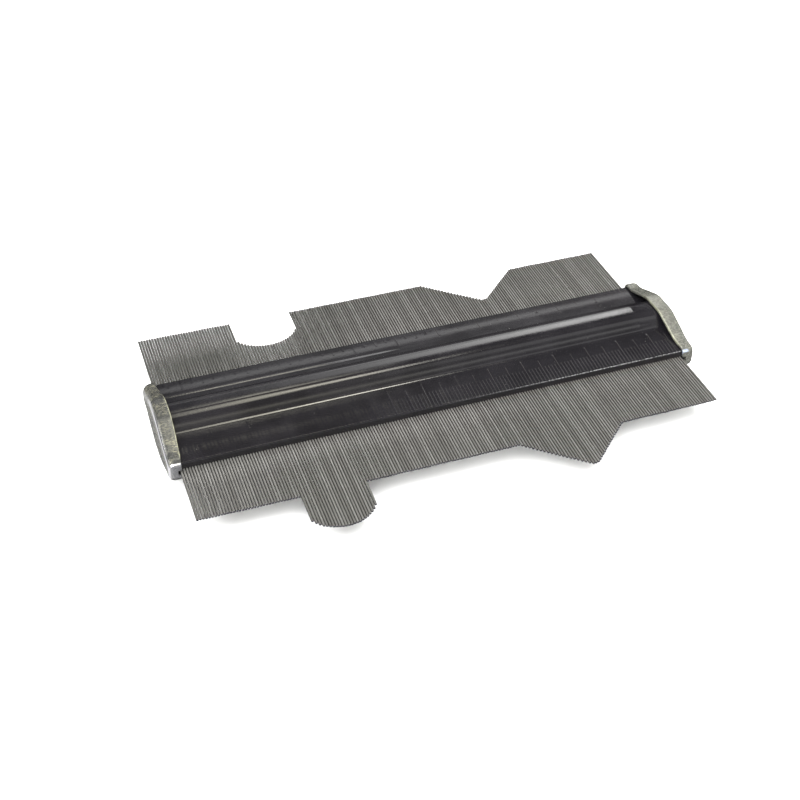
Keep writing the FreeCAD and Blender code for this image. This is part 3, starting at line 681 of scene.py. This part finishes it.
def cap_mesh(name, side):
    tip_r, edge_r, tip_more = (2.3, 1.2, 0.2) if side > 0 else (2.7, 2.0, 0.55)
    quarter = rounded_path([(18.65, 3.3), (14.0, 3.7), (4.0, 7.6)], [tip_r, 8.0, 8.0], (18.65, 0.0), (0.0, 7.6))
    top = quarter + [(0.0, 7.6, 0.0, 1.0)]
    upper = top + [(-y, z, -ny, nz) for y, z, ny, nz in reversed(top[:-1])]
    ring = upper + [(y, -z, ny, -nz) for y, z, ny, nz in reversed(upper[1:-1])]
    bm = bmesh.new()

    def lay(x_of, inset_of, shrink=1.0):
        row = []
        for y, z, ny, nz in ring:
            d = inset_of(y)
            row.append(bm.verts.new((side * x_of(y) * MM, (y - d * ny) * shrink * MM,
                                     (MID + (z - d * nz) * shrink) * MM)))
        return row

    def rim(y):
        return CAP_X - CAP_DEEP + CAP_BOW * (y / 18.65) ** 2

    def edge(y):
        if side < 0:
            return float(np.interp(y, [-18.0, -12.0, 4.0, 14.0], [1.5, 1.2, 1.6, 2.5]))
        return edge_r + tip_more * min(1.0, max(0.0, (abs(y) - 10.0) / 6.0))

    def crown(s):
        return (0.08 if side > 0 else 0.22) * s ** 3

    inside = CAP_X - CAP_WALL - 0.25
    rows = [lay(lambda y: inside, lambda y: CAP_WALL, 0.5)]
    rows.append(lay(lambda y: inside, lambda y: CAP_WALL + 1.2))
    for j in range(5):
        a = math.pi / 2 * j / 4
        rows.append(lay(lambda y, a=a: inside - 1.2 * (1 - math.cos(a)), lambda y, a=a: CAP_WALL + 1.2 * (1 - math.sin(a))))
    rows.append(lay(lambda y: 74.15, lambda y: CAP_WALL))
    rows.append(lay(lambda y: rim(y) + 0.12, lambda y: CAP_WALL))
    rows.append(lay(lambda y: rim(y) + 0.03, lambda y: CAP_WALL - 0.04))
    rows.append(lay(lambda y: rim(y), lambda y: CAP_WALL - 0.14))
    rows.append(lay(lambda y: rim(y), lambda y: 0.30))
    for j in range(1, 5):
        a = math.pi / 2 * j / 4
        rows.append(lay(lambda y, a=a: rim(y) + 0.30 * (1 - math.cos(a)), lambda y, a=a: 0.30 * (1 - math.sin(a))))
    for share in (0.35, 0.7, 0.95):
        rows.append(lay(lambda y, q=share: rim(y) + 0.3 + q * (CAP_X - crown(1) - edge(y) - rim(y) - 0.3), lambda y: 0.0))
    for j in range(0, 10):
        a = math.radians(86) * j / 9
        rows.append(lay(lambda y, a=a: CAP_X - crown(1) - edge(y) * (1 - math.sin(a)), lambda y, a=a: edge(y) * (1 - math.cos(a))))
    last = math.radians(86)
    for q in (0.92, 0.8, 0.62, 0.4, 0.18):
        rows.append(lay(lambda y, q=q: CAP_X - crown(q), lambda y: edge(y) * (1 - math.cos(last)), q))
    centre_in = bm.verts.new((side * inside * MM, 0, MID * MM))
    centre_out = bm.verts.new((side * CAP_X * MM, 0, MID * MM))
    n = len(ring)
    for a, b in zip(rows, rows[1:]):
        for j in range(n):
            j2 = (j + 1) % n
            bm.faces.new((a[j], a[j2], b[j2], b[j])).smooth = True
    for j in range(n):
        j2 = (j + 1) % n
        bm.faces.new((centre_in, rows[0][j2], rows[0][j])).smooth = True
        bm.faces.new((centre_out, rows[-1][j], rows[-1][j2])).smooth = True
    bmesh.ops.remove_doubles(bm, verts=bm.verts, dist=1e-8)
    bmesh.ops.recalc_face_normals(bm, faces=bm.faces)
    mesh = bpy.data.meshes.new(name)
    bm.to_mesh(mesh)
    bm.free()
    o = bpy.data.objects.new(name, mesh)
    scene.collection.objects.link(o)
    # the slot where the outermost needles pass
    bm = bmesh.new()
    bmesh.ops.create_cube(bm, size=1.0)
    for v in bm.verts:
        v.co = Vector((side * (72.075 + v.co.x * 4.15) * MM, v.co.y * 50 * MM, (MID + v.co.z * 1.5) * MM))
    bmesh.ops.recalc_face_normals(bm, faces=bm.faces)
    box_mesh = bpy.data.meshes.new(name + "_cut")
    bm.to_mesh(box_mesh)
    bm.free()
    cutter = bpy.data.objects.new(name + "_cut", box_mesh)
    scene.collection.objects.link(cutter)
    mod = o.modifiers.new("slot", "BOOLEAN")
    mod.operation, mod.solver, mod.object = "DIFFERENCE", "EXACT", cutter
    bpy.context.view_layer.update()
    done = bpy.data.meshes.new_from_object(o.evaluated_get(bpy.context.evaluated_depsgraph_get()))
    o.modifiers.clear()
    o.data = done
    bpy.data.objects.remove(cutter)
    bpy.data.meshes.remove(box_mesh)
    bpy.data.meshes.remove(mesh)
    done.name = name
    done.materials.clear()
    done.materials.append(CAP)
    done.set_sharp_from_angle(angle=math.radians(40))
    return o


for label, side in (("left_end_cap", -1), ("right_end_cap", 1)):
    cup = cap_mesh(label.replace("_end_cap", "_cup"), side)
    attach(cup, "housing")
    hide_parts(label)


# --------------------------------------------------------------------------
# Felt strips: soft rounded edges, matted surface, dents under the spring
# --------------------------------------------------------------------------
def felt_mesh(name, up):
    x0, x1, half, low, thick = -73.2, 72.8, 4.0, 0.42, 2.2
    r = 0.55
    loop = []
    for cy, cz, a0 in ((half - r, thick - r, 0), (-half + r, thick - r, 90), (-half + r, r, 180), (half - r, r, 270)):
        for j in range(5):
            a = math.radians(a0 + 90 * j / 4)
            loop.append((cy + r * math.cos(a), cz + r * math.sin(a), math.cos(a), math.sin(a)))
        nxt = {0: (-1, 0), 90: (0, -1), 180: (1, 0), 270: (0, 1)}[a0]
        span = (2 * half - 2 * r) if nxt[0] else (thick - 2 * r)
        steps = max(1, int(span / 0.6))
        y, z, ny, nz = loop[-1]
        for j in range(1, steps):
            loop.append((y + nxt[0] * span * j / steps, z + nxt[1] * span * j / steps, ny, nz))
    xs = np.arange(x0 + 0.3, x1 - 0.29, 0.7)
    bm = bmesh.new()
    rows = []
    for i, x in enumerate(xs):
        row = []
        end = min(1.0, (x - xs[0]) / 0.7 + 0.0, (xs[-1] - x) / 0.7 + 0.0)
        for y, z, ny, nz in loop:
            q = Vector((x, y, z + (0 if up else 40)))
            deep = 0.02 + 0.10 * abs(noise.noise(q * 0.55)) + 0.09 * abs(noise.noise(q * 1.7))
            deep += 0.25 * (1 - end)
            if nz > 0.7 and abs(y) < 2.6:
                phase = (x + 0.2) / 20.0 * 2 * math.pi
                deep += 0.10 * max(0.0, -math.cos(phase + math.pi)) ** 6
            zz = low + z - deep * nz
            row.append(bm.verts.new((x * MM, (y - deep * ny) * MM, (MID + (zz if up else -zz)) * MM)))
        rows.append(row)
    n = len(loop)
    for a, b in zip(rows, rows[1:]):
        for j in range(n):
            j2 = (j + 1) % n
            bm.faces.new((a[j], a[j2], b[j2], b[j])).smooth = True
    for row, x in ((rows[0], x0 + 0.05), (rows[-1], x1 - 0.05)):
        c = bm.verts.new((x * MM, 0, (MID + (low + thick / 2) * (1 if up else -1)) * MM))
        for j in range(n):
            bm.faces.new((c, row[j], row[(j + 1) % n])).smooth = True
    bmesh.ops.recalc_face_normals(bm, faces=bm.faces)
    mesh = bpy.data.meshes.new(name)
    bm.to_mesh(mesh)
    bm.free()
    mesh.materials.append(FELT)
    o = bpy.data.objects.new(name, mesh)
    scene.collection.objects.link(o)
    return o


for label, up in (("top_felt_strip", True), ("bottom_felt_strip", False)):
    pad = felt_mesh(label.replace("_strip", "_pad"), up)
    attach(pad, "housing")
    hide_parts(label)

# --------------------------------------------------------------------------
# CAD nodes that stay, with their finish
# --------------------------------------------------------------------------
for label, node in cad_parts.items():
    if label.endswith("spacer_block"):
        finish = BLOCK
    elif label.endswith("wave_spring"):
        finish = SPRING
    else:
        continue
    for s in node.material_slots:
        s.material = finish


# --------------------------------------------------------------------------
# Floor, light and camera
# --------------------------------------------------------------------------
def floor():
    mesh = bpy.data.meshes.new("floor")
    s = 4.0
    mesh.from_pydata([(-s, -s, -0.00005), (s, -s, -0.00005), (s, s, -0.00005), (-s, s, -0.00005)], [], [(0, 1, 2, 3)])
    o = bpy.data.objects.new("floor", mesh)
    scene.collection.objects.link(o)
    m, k, bsdf, p = material("floor_paper")
    k.put(bsdf.inputs["Base Color"],
          k.mix(k.ramp(k.noise(p, 0.02, 3), 0.3, 0.7), (0.83, 0.83, 0.83, 1), (0.86, 0.86, 0.86, 1)))
    bsdf.inputs["Roughness"].default_value = 0.9
    bsdf.inputs["Specular IOR Level"].default_value = 0.1
    mesh.materials.append(m)
    o.visible_glossy = False


def studio():
    """Soft panels round a dim room. psi turns from the back horizon (0) over the top (90) to the front (180)."""
    w = bpy.data.worlds.new("studio")
    scene.world = w
    w.use_nodes = True
    k = Nodes(w.node_tree)
    out = k.new("ShaderNodeOutputWorld")
    tc = k.new("ShaderNodeTexCoord")
    sep = k.new("ShaderNodeSeparateXYZ")
    k.put(sep.inputs[0], tc.outputs["Generated"])
    rx, ry, rz = sep.outputs
    psi = k.mul(k.math("ARCTAN2", rz, ry), 180 / math.pi)
    light = k.mul(k.ramp(rz, -0.02, 0.05), k.ramp(psi, 44, 58, 0.04, 0.22))
    light = k.add(light, k.mul(k.ramp(rx, 0.46, 0.60), k.mul(k.ramp(rz, -0.1, 0.2), 0.22)))
    light = k.add(light, k.mul(k.ramp(rx, -0.30, -0.02, 0.95, 0.0), k.ramp(rz, -0.25, 0.0, 1.0, 0.0)))
    light = k.add(light, k.mul(k.ramp(ry, -0.30, 0.0, 0.75, 0.0), k.ramp(rz, -0.25, -0.05, 1.0, 0.0)))
    # back panel, bright to the right above, even below
    across = k.add(k.mul(k.math("POWER", k.ramp(rx, 0.17, 0.43, 0.0, 1.0, False), 1.7), 7.0),
                   k.ramp(rx, 0.125, 0.20, 0.12, 1.0))
    ends = k.mul(k.ramp(rx, -0.32, -0.12), k.ramp(rx, 0.428, 0.433, 1.0, 0.0))
    high = k.mul(k.mul(k.ramp(psi, 30.0, 34.0), k.ramp(psi, 41.0, 43.5, 1.0, 0.0)), ends)
    light = k.add(light, k.mul(high, across))
    # faint strip over the back panel, seen beside the crest and in the crease
    faint = k.mul(k.window(psi, 45.0, 49.6, 1.3), k.window(rx, 0.11, 0.235, 0.02))
    light = k.add(light, k.mul(faint, k.ramp(rx, 0.155, 0.215, 4.6, 3.0)))
    mid = k.mul(k.mul(k.ramp(psi, 25.1, 28.6), k.ramp(psi, 29.4, 32.4, 1.0, 0.0)),
                k.mul(k.ramp(rx, -0.32, -0.12), k.ramp(rx, 0.44, 0.47, 1.0, 0.0)))
    light = k.add(light, k.mul(mid, k.add(k.ramp(rx, 0.06, 0.125, 0.9, 2.0), k.ramp(rx, 0.16, 0.22, 0.0, 0.3))))
    lower = k.mul(k.mul(k.ramp(psi, -8, 18), k.ramp(psi, 22, 30, 1.0, 0.0)),
                  k.mul(k.ramp(rx, 0.05, 0.12), k.ramp(rx, 0.427, 0.435, 1.0, 0.0)))
    light = k.add(light, k.mul(lower, 0.20))
    # panel overhead on the left
    wide = k.mul(k.mul(k.ramp(psi, 58, 68), k.ramp(psi, 88, 96, 1.0, 0.0)),
                 k.mul(k.ramp(rx, 0.09, 0.12), k.ramp(rx, 0.16, 0.22, 1.0, 0.0)))
    light = k.add(light, k.mul(wide, 5.2))
    narrow = k.mul(k.mul(k.ramp(psi, 67, 72), k.ramp(psi, 82, 87, 1.0, 0.0)),
                   k.mul(k.ramp(rx, 0.16, 0.22), k.ramp(rx, 0.24, 0.295, 1.0, 0.0)))
    light = k.add(light, k.mul(narrow, 15.0))
    # dim panel above the middle, seen in the front slope
    side = k.mul(k.window(psi, 96, 126, 5.0), k.ramp(rx, 0.18, 0.36))
    light = k.add(light, k.mul(side, 0.9))
    # small panel at the upper left, for the edge of the left cap
    left = k.mul(k.window(psi, 58, 118, 3.0), k.window(rx, -0.80, -0.60, 0.03))
    light = k.add(light, k.mul(left, 11.5))
    rim = k.mul(k.window(psi, 22, 76, 6.0), k.window(rx, 0.58, 0.74, 0.04))
    light = k.add(light, k.mul(rim, 2.2))
    tip = k.mul(k.window(psi, 132, 148, 3.0), k.window(rx, -0.70, -0.10, 0.04))
    light = k.add(light, k.mul(tip, 8.0))
    # fill on the far left
    light = k.add(light, k.mul(k.ramp(rx, 0.02, 0.09, 1.0, 0.0), k.ramp(psi, 44.0, 52.0, 0.0, 0.35)))
    # small bright panel low over the front right, for the lip's edge and the needle tips
    spark = k.mul(k.window(psi, 154, 171, 3.0), k.window(rx, 0.36, 0.47, 0.03))
    light = k.add(light, k.mul(spark, 6.0))
    # main light over the front
    key = k.mul(k.window(psi, 134, 160, 4), k.window(rx, -0.75, 0.6, 0.1))
    light = k.add(light, k.mul(key, 1.8))
    lit = k.new("ShaderNodeBackground")
    k.put(lit.inputs["Strength"], light)
    warm = k.mul(k.mul(k.ramp(rx, 0.02, 0.10), k.ramp(rx, 0.20, 0.34, 1.0, 0.0)), k.ramp(psi, 42.0, 47.0))
    k.put(lit.inputs["Color"], k.mix(spark, k.mix(warm, (1.0, 0.998, 0.985, 1), (1.0, 0.965, 0.80, 1)), (0.74, 0.84, 1.0, 1)))
    plain = k.new("ShaderNodeBackground")
    plain.inputs["Color"].default_value = (1.0, 1.0, 1.0, 1)
    seen = k.new("ShaderNodeLightPath")
    mixed = k.new("ShaderNodeMixShader")
    k.put(mixed.inputs[0], seen.outputs["Is Camera Ray"])
    k.put(mixed.inputs[1], lit.outputs[0])
    k.put(mixed.inputs[2], plain.outputs[0])
    k.put(out.inputs[0], mixed.outputs[0])


def overhead():
    """A wide soft light straight above; it doesn't show in the lacquer or the metal."""
    data = bpy.data.lights.new("overhead", "AREA")
    data.shape = "DISK"
    data.size = 1.6
    data.energy = 49.0
    data.color = (1.0, 1.0, 1.0)
    o = bpy.data.objects.new("overhead", data)
    scene.collection.objects.link(o)
    o.location = (-0.1, -0.15, 1.1)
    o.rotation_euler = (Vector((0, 0, 0)) - Vector(o.location)).to_track_quat("-Z", "Y").to_euler()
    o.visible_glossy = False


def camera():
    data = bpy.data.cameras.new("camera")
    o = bpy.data.objects.new("camera", data)
    scene.collection.objects.link(o)
    heading, pitch, roll = math.radians(19.416), math.radians(38.569), math.radians(0.113)
    forward = Vector((math.sin(heading) * math.cos(pitch), math.cos(heading) * math.cos(pitch), -math.sin(pitch)))
    turn = forward.to_track_quat("-Z", "Y").to_matrix()
    turn = Matrix.Rotation(roll, 3, forward) @ turn
    o.matrix_world = Matrix.Translation(Vector((-107.25, -285.53, 241.33)) * MM) @ turn.to_4x4()
    data.sensor_width = 36.0
    data.lens = 36.0 * 1353.3 / 800.0
    data.clip_start, data.clip_end = 0.01, 50.0
    scene.camera = o


floor()
studio()
overhead()
camera()
